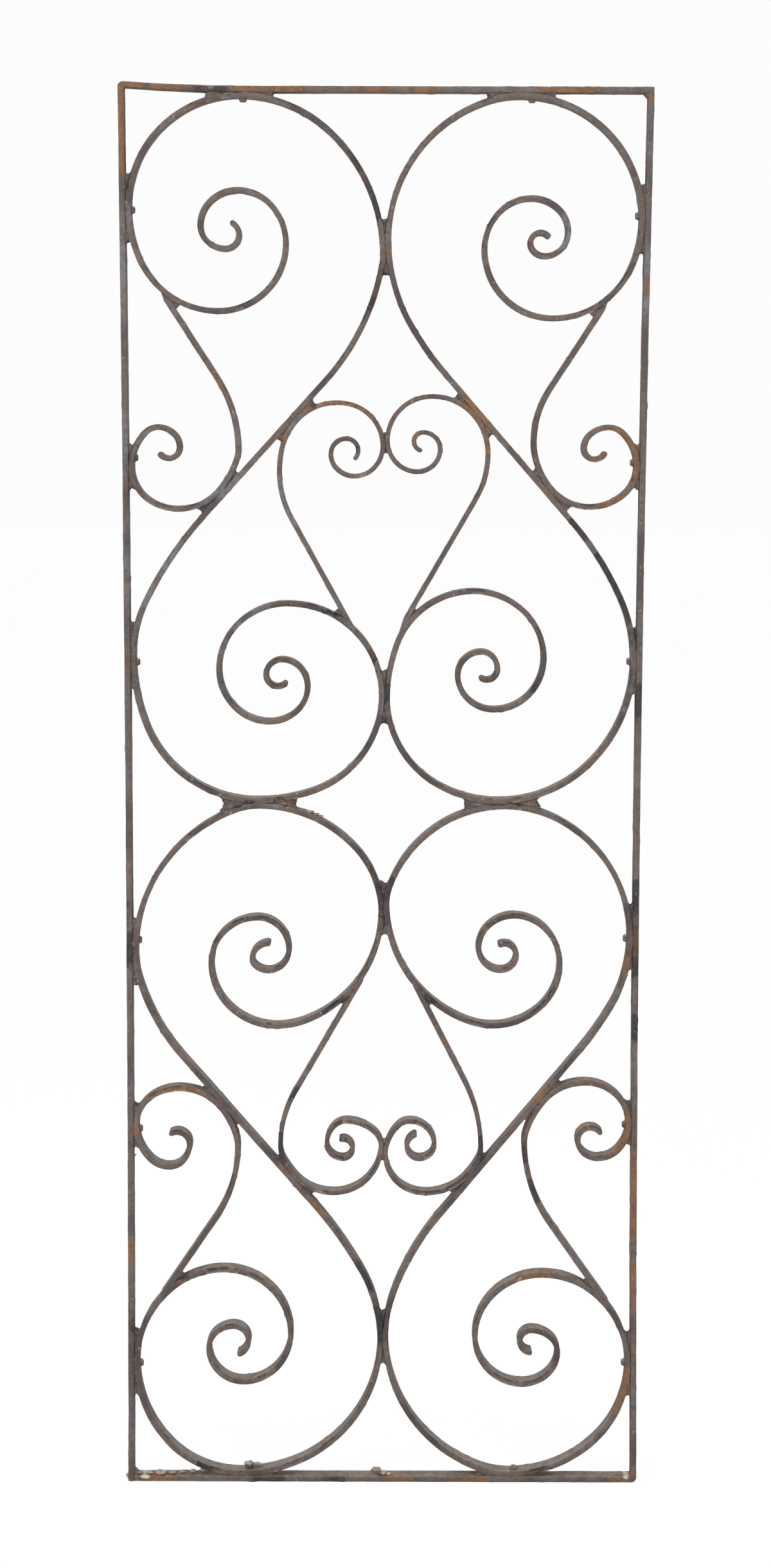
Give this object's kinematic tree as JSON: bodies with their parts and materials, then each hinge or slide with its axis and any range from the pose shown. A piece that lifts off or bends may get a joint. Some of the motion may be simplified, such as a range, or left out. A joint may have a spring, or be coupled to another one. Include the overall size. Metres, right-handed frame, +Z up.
{
  "type": "window grille",
  "caption": "Tall flat window grille of wrought iron bar, with mirrored S scrolls and branch scrolls riveted and welded inside a bent bar frame.",
  "frame": {"origin": "Middle of the bottom edge, at mid depth.", "axes": "+X right and +Z up as seen from the front, +Y from the front into the wall."},
  "size_m": [0.58, 0.02, 1.5676],
  "materials": {
    "frame_iron": "worn dark grey-brown paint over forged iron, with rust",
    "scroll_iron": "worn dark grey-brown paint over forged iron, with rust",
    "rivet_iron": "hammered heads, painted and rusted",
    "weld_iron": "rough weld metal, painted and rusted"
  },
  "bodies": {
    "root": {"big_scroll_lower_left": "scroll_iron", "big_scroll_lower_right": "scroll_iron", "big_scroll_upper_left": "scroll_iron", "big_scroll_upper_right": "scroll_iron", "frame_left_top": "frame_iron", "frame_right_bottom": "frame_iron", "heart_branch_lower_left": "scroll_iron", "heart_branch_lower_right": "scroll_iron", "heart_branch_upper_left": "scroll_iron", "heart_branch_upper_right": "scroll_iron", "outer_branch_lower_left": "scroll_iron", "outer_branch_lower_right": "scroll_iron", "outer_branch_upper_left": "scroll_iron", "outer_branch_upper_right": "scroll_iron", "rivets_bottom": "rivet_iron", "rivets_left": "rivet_iron", "rivets_right": "rivet_iron", "rivets_top": "rivet_iron", "weld_corner_bottom_left": "weld_iron", "weld_corner_top_right": "weld_iron", "weld_crossing_heart_branch_lower_left": "weld_iron", "weld_crossing_heart_branch_lower_right": "weld_iron", "weld_crossing_heart_branch_upper_left": "weld_iron", "weld_crossing_heart_branch_upper_right": "weld_iron", "weld_crossing_outer_branch_lower_left": "weld_iron", "weld_crossing_outer_branch_lower_right": "weld_iron", "weld_crossing_outer_branch_upper_left": "weld_iron", "weld_crossing_outer_branch_upper_right": "weld_iron", "weld_frame_bottom": "weld_iron", "weld_frame_left": "weld_iron", "weld_frame_right": "weld_iron", "weld_frame_top": "weld_iron", "weld_lower_heart": "weld_iron", "weld_lower_low_twin": "weld_iron", "weld_lower_twin": "weld_iron", "weld_ring_left": "weld_iron", "weld_ring_right": "weld_iron", "weld_root_heart_branch_lower_left": "weld_iron", "weld_root_heart_branch_lower_right": "weld_iron", "weld_root_heart_branch_upper_left": "weld_iron", "weld_root_heart_branch_upper_right": "weld_iron", "weld_root_outer_branch_lower_left": "weld_iron", "weld_root_outer_branch_lower_right": "weld_iron", "weld_root_outer_branch_upper_left": "weld_iron", "weld_root_outer_branch_upper_right": "weld_iron", "weld_upper_heart": "weld_iron", "weld_upper_low_twin": "weld_iron", "weld_upper_twin": "weld_iron"}
  },
  "joints": []
}
